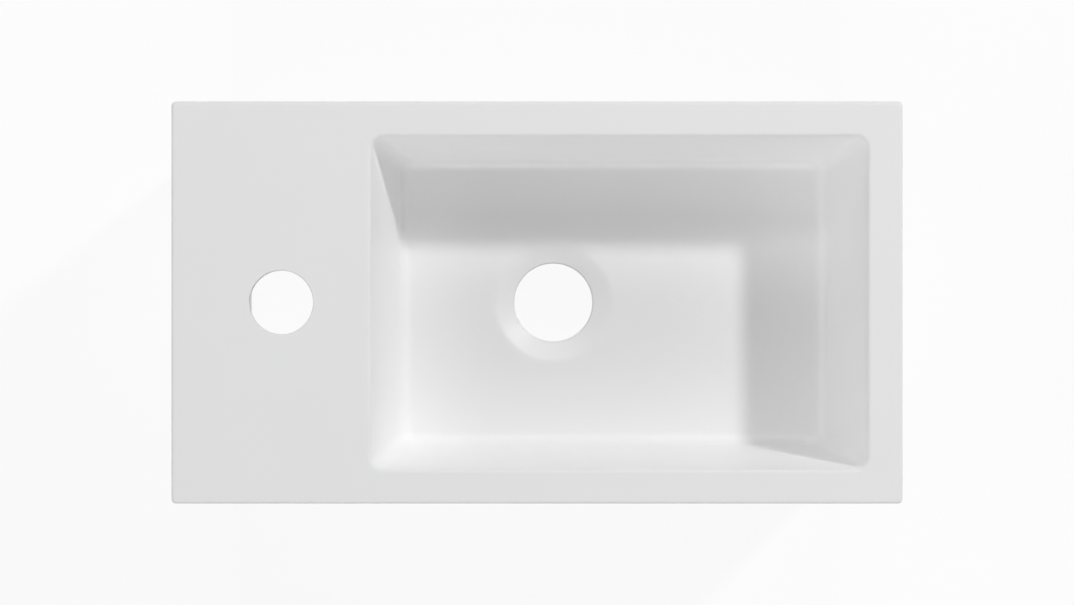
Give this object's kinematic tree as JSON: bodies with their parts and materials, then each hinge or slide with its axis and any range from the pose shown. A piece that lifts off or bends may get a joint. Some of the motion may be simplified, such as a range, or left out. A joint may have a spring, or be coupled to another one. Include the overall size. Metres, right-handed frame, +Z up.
{
  "type": "vanity unit",
  "caption": "Compact wall-hung vanity unit: a cast block basin with a tap ledge and dished waste hole, on a shallow hinged-door cabinet open behind and below for the pipes.",
  "frame": {"origin": "centre of the unit's plan at the underside of the cabinet", "axes": "+X to the user's right, +Y towards the wall, +Z up"},
  "size_m": [0.4, 0.22, 0.5],
  "materials": {
    "cast_basin": "satin",
    "seal_foam": "matte",
    "carcass_board": "satin",
    "door_lacquer": "satin",
    "plated_steel": "satin",
    "screw_steel": "satin",
    "cam_zinc": "satin",
    "beech": "matte",
    "pull_aluminium": "satin",
    "catch_plastic": "matte",
    "ferrite": "matte",
    "bumper_rubber": "matte"
  },
  "bodies": {
    "cabinet": {"basin": "cast_basin", "basin_seal": "seal_foam", "left_side_panel": "carcass_board", "right_side_panel": "carcass_board", "bottom_shelf": "carcass_board", "front_rail": "carcass_board", "hanging_rail": "carcass_board", "lower_rail": "carcass_board", "shelf": "carcass_board", "fixing_plates": "plated_steel", "lower_hinge_arm": "plated_steel", "lower_mounting_plate": "plated_steel", "upper_hinge_arm": "plated_steel", "upper_mounting_plate": "plated_steel", "shelf_pins": "plated_steel", "fixing_plate_screws": "screw_steel", "mounting_plate_screws": "screw_steel", "hinge_arm_screws": "screw_steel", "catch_screws": "screw_steel", "cam_bolts": "screw_steel", "cam_discs": "cam_zinc", "dowels": "beech", "catch_body": "catch_plastic", "catch_magnet": "ferrite"},
    "door": {"door_panel": "door_lacquer", "lower_hinge_cup": "plated_steel", "upper_hinge_cup": "plated_steel", "lower_hinge_pin": "screw_steel", "upper_hinge_pin": "screw_steel", "hinge_cup_screws": "screw_steel", "edge_pull": "pull_aluminium", "edge_pull_screws": "screw_steel", "strike_plate": "plated_steel", "strike_screws": "screw_steel", "door_bumpers": "bumper_rubber"}
  },
  "joints": [
    {"name": "door_hinge", "type": "hinge", "parent": "cabinet", "child": "door", "pos_m": [0.1885, -0.0925, 0.199], "axis": [0, 0, 1], "range_deg": [0, 95]}
  ]
}
